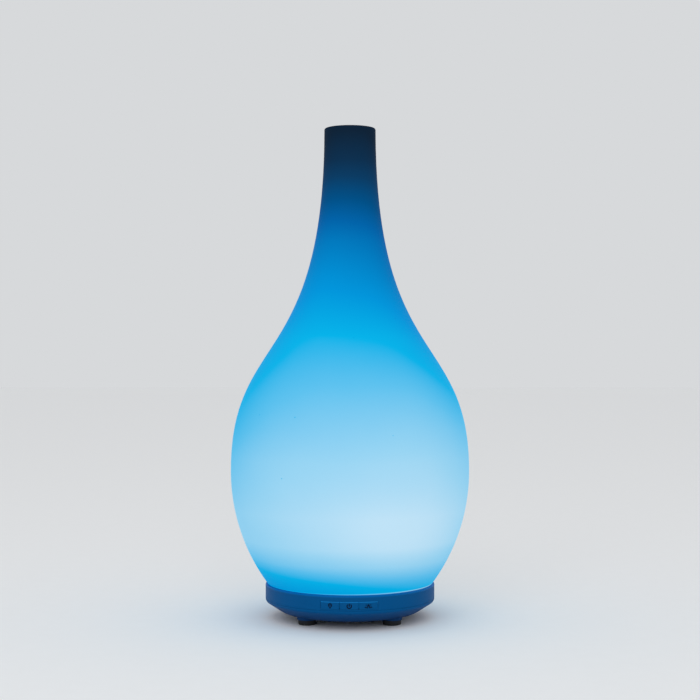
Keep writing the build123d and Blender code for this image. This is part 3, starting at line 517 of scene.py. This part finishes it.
def bar(mesh, centre, length, width, angle=0):
    """A flat bar with its middle at centre, turned by an angle in degrees from upright."""
    made = bmesh.ops.create_grid(mesh, x_segments=1, y_segments=4, size=0.5)
    shift = Matrix.Translation((centre[0], 0, centre[1]))
    lean = Matrix.Rotation(radians(angle), 4, "Y")
    upright = Matrix.Rotation(radians(90), 4, "X")
    scale = Matrix.Diagonal((width, length, 1, 1))
    bmesh.ops.transform(mesh, matrix=shift @ lean @ upright @ scale, verts=made["verts"])


# %% Wrapping a mark on its key
def add_piece(mesh, name, finish, body):
    """Makes an object of a finished mesh, with its finish and the body it rides on."""
    bmesh.ops.recalc_face_normals(mesh, faces=mesh.faces)
    data = bpy.data.meshes.new(name)
    mesh.to_mesh(data)
    mesh.free()
    data.materials.append(finish)
    piece = bpy.data.objects.new(name, data)
    bpy.context.collection.objects.link(piece)
    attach(piece, body)
    print(name, len(data.polygons), "faces, rides on", body)


def wrap_on_key(mesh, name, across, body):
    """Gives the flat mark its thickness, wraps it on the key's face and lets it ride on the key."""
    bmesh.ops.recalc_face_normals(mesh, faces=mesh.faces)
    made = bmesh.ops.extrude_face_region(mesh, geom=list(mesh.faces))
    raised = [item for item in made["geom"] if isinstance(item, bmesh.types.BMVert)]
    bmesh.ops.translate(mesh, vec=(0, -mark_thickness, 0), verts=raised)
    for vert in mesh.verts:
        x = vert.co.x + across
        face_y = -sqrt(key_face_radius**2 - x**2)
        vert.co = Vector((x, face_y + mark_sunk + vert.co.y, vert.co.z + mark_z))
    add_piece(mesh, name, print_ink, body)


# %% [markdown]
# The lamp is an open ring with a filament in it, a neck below and a small tip. Angles run from the right and
# upwards, so the ring is open at its foot.

# %% Lamp mark
mist_low, mist_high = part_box("mist_button")
key_step = (mist_low[0] + mist_high[0]) / 2
lamp_mark = bmesh.new()
arc_band(lamp_mark, centre=(0, 0.35 * MM), radius=0.98 * MM, width=0.66 * MM, start=-56, end=236, steps=24)
bar(lamp_mark, centre=(0, 0.2 * MM), length=1.1 * MM, width=0.5 * MM)
bar(lamp_mark, centre=(0, -1.12 * MM), length=0.7 * MM, width=1.1 * MM)
bar(lamp_mark, centre=(0, -1.6 * MM), length=0.2 * MM, width=0.55 * MM)
wrap_on_key(lamp_mark, "mark_lamp", -key_step, "light_key")

# %% [markdown]
# The power sign is an open ring with a bar through its gap. The gap is at the top, so the band starts left of it
# and runs round the foot to its right side.

# %% Power mark
power_mark = bmesh.new()
arc_band(power_mark, centre=(0, 0), radius=1.42 * MM, width=stroke, start=130, end=410, steps=32)
bar(power_mark, centre=(0, 0.65 * MM), length=2.0 * MM, width=stroke)
wrap_on_key(power_mark, "mark_power", 0, "power_key")

# %% [markdown]
# The spray has a pointed arch with two rays on each side. One half is enough: its leg is cut off at the middle,
# and the mirror welds both halves there, which gives the point a clean joint.

# %% Mist mark
mist_mark = bmesh.new()
bar(mist_mark, centre=(0.52 * MM, 0), length=2.8 * MM, width=stroke, angle=-22)
bmesh.ops.bisect_plane(mist_mark, geom=[*mist_mark.verts, *mist_mark.edges, *mist_mark.faces],
                       plane_co=(0, 0, 0), plane_no=(1, 0, 0), clear_inner=True)
bar(mist_mark, centre=(1.42 * MM, 0.9 * MM), length=0.6 * MM, width=stroke, angle=-52)
bar(mist_mark, centre=(1.88 * MM, -0.6 * MM), length=1.0 * MM, width=stroke, angle=-52)
bmesh.ops.mirror(mist_mark, geom=[*mist_mark.verts, *mist_mark.edges, *mist_mark.faces], axis="X",
                 merge_dist=0.005 * MM)
bmesh.ops.translate(mist_mark, vec=(0, 0, -0.3 * MM), verts=mist_mark.verts)
wrap_on_key(mist_mark, "mark_mist", key_step, "mist_key")

# %% [markdown]
# ## Level marks in the tank
# The tank has a moulded fill line round its inner wall. Short bars below it show how full it is. Each bar is an
# upright rectangle, spun a little way round the tank's axis, with its edges rounded as a mould leaves them. The
# wall and the fill line are read from the tank's own mesh, on the side opposite the keys.

# %% Places of the level marks
tank_points = [(hypot(vert.co.x, vert.co.y), vert.co.y, vert.co.z) for vert in nodes["water_tank"].data.vertices]
tank_rim_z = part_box("water_tank")[1][2]
tank_wall = min(radius for radius, y, z in tank_points if z > tank_rim_z - 0.1 * MM)
line_points = [z for radius, y, z in tank_points if y > 0.9 * tank_wall and radius < tank_wall - 0.3 * MM]
fill_z = max(line_points)
print("tank wall at", round(tank_wall / MM, 2), "mm, fill line at", round(fill_z / MM, 1), "mm")

# %% Level marks
bar_count = 3
bar_proud = 0.5 * MM
bar_sunk = 0.3 * MM
bar_height = 1.0 * MM
bar_sweep = radians(16)
bar_spacing = 7 * MM
bar_round = 0.15 * MM

for count in range(bar_count):
    level_bar = bmesh.new()
    profile = bmesh.ops.create_grid(level_bar, x_segments=1, y_segments=1, size=0.5)
    middle = Vector((tank_wall + (bar_sunk - bar_proud) / 2, 0, fill_z - (count + 1) * bar_spacing))
    upright = Matrix.Rotation(radians(90), 4, "X") @ Matrix.Diagonal((bar_sunk + bar_proud, bar_height, 1, 1))
    bmesh.ops.transform(level_bar, matrix=Matrix.Translation(middle) @ upright, verts=profile["verts"])
    bmesh.ops.spin(level_bar, geom=[*level_bar.verts, *level_bar.edges, *level_bar.faces], cent=(0, 0, 0),
                   axis=(0, 0, 1), dvec=(0, 0, 0), angle=bar_sweep, steps=12, use_merge=False,
                   use_duplicate=False)
    to_back = Matrix.Rotation(radians(90) - bar_sweep / 2, 3, "Z")
    bmesh.ops.rotate(level_bar, cent=(0, 0, 0), matrix=to_back, verts=level_bar.verts)
    bmesh.ops.recalc_face_normals(level_bar, faces=level_bar.faces)
    sharp = [edge for edge in level_bar.edges if edge.calc_face_angle(0) > radians(45)]
    bmesh.ops.bevel(level_bar, geom=sharp, offset=bar_round, offset_type="OFFSET", segments=2, profile=0.5,
                    affect="EDGES", material=-1)
    add_piece(level_bar, f"level_bar_{count}", tank_white, "base")

# %% [markdown]
# ## The studio
# A pale floor and a soft, even light show the colours as they are mixed. The floor is matt, so that no lamp
# mirrors in it, and so large that it seems to run to the horizon.

# %% Floor
floor_mesh = bmesh.new()
bmesh.ops.create_grid(floor_mesh, x_segments=1, y_segments=1, size=6)
floor_data = bpy.data.meshes.new("floor")
floor_mesh.to_mesh(floor_data)
floor_mesh.free()
floor = bpy.data.objects.new("floor", floor_data)
bpy.context.collection.objects.link(floor)
floor_paint, *_ = plastic("floor_paint", chart(237, 239, 241), roughness=0.9, cloudiness=0.02, ior_level=0.03)
floor_data.materials.append(floor_paint)
print("floor of", round(floor.dimensions.x), "m")

# %% [markdown]
# One large panel stands in front and above, and the surroundings fill in the shadows. What the camera sees behind
# the floor is a plain colour, as pale as the floor itself, so that no line shows where they meet.

# %% Light
panel_spot = Vector((-0.25, -1.7, 1.15))
panel_data = bpy.data.lights.new("front_panel", "AREA")
panel_data.size = 1.6
panel_data.energy = 8.5
panel = bpy.data.objects.new("front_panel", panel_data)
panel.location = panel_spot
panel.rotation_euler = (Vector((0, 0, rim_z / 2)) - panel_spot).to_track_quat("-Z", "Y").to_euler()
bpy.context.collection.objects.link(panel)
print("panel of", round(panel_data.size, 1), "m")

# %% Surroundings
def blend(tree, share, first, second):
    """Mixes two colours; a share of 1 is all of the second."""
    node = tree.nodes.new("ShaderNodeMix")
    node.data_type = "RGBA"
    feed(tree, share, node.inputs["Factor"])
    feed(tree, first, node.inputs[6])
    feed(tree, second, node.inputs[7])
    return node.outputs[2]


fill_light = (0.79, 0.79, 0.79, 1)
backdrop = chart(215, 217, 219)
surround = bpy.data.worlds.new("surround")
bpy.context.scene.world = surround
surround.use_nodes = True
tree = surround.node_tree
seen = tree.nodes.new("ShaderNodeLightPath").outputs["Is Camera Ray"]
feed(tree, blend(tree, seen, fill_light, backdrop), tree.nodes["Background"].inputs["Color"])
print("surroundings lit")

# %% [markdown]
# The camera looks level from the front, a hair to the right of the middle key, from about a metre away. A level
# camera keeps the upright lines of a tall piece upright.

# %% Camera
camera_distance = 0.996
camera_height = 0.182
camera_bearing = radians(0.5)
camera_data = bpy.data.cameras.new("camera")
camera_data.lens = 75
camera_data.sensor_width = 36
camera = bpy.data.objects.new("camera", camera_data)
camera.location = (camera_distance * sin(camera_bearing), -camera_distance * cos(camera_bearing), camera_height)
camera.rotation_euler = (radians(90), 0, camera_bearing)
bpy.context.collection.objects.link(camera)
bpy.context.scene.camera = camera
bpy.context.scene.view_settings.view_transform = "Standard"
print("camera", round(camera_height / MM), "mm above the table")
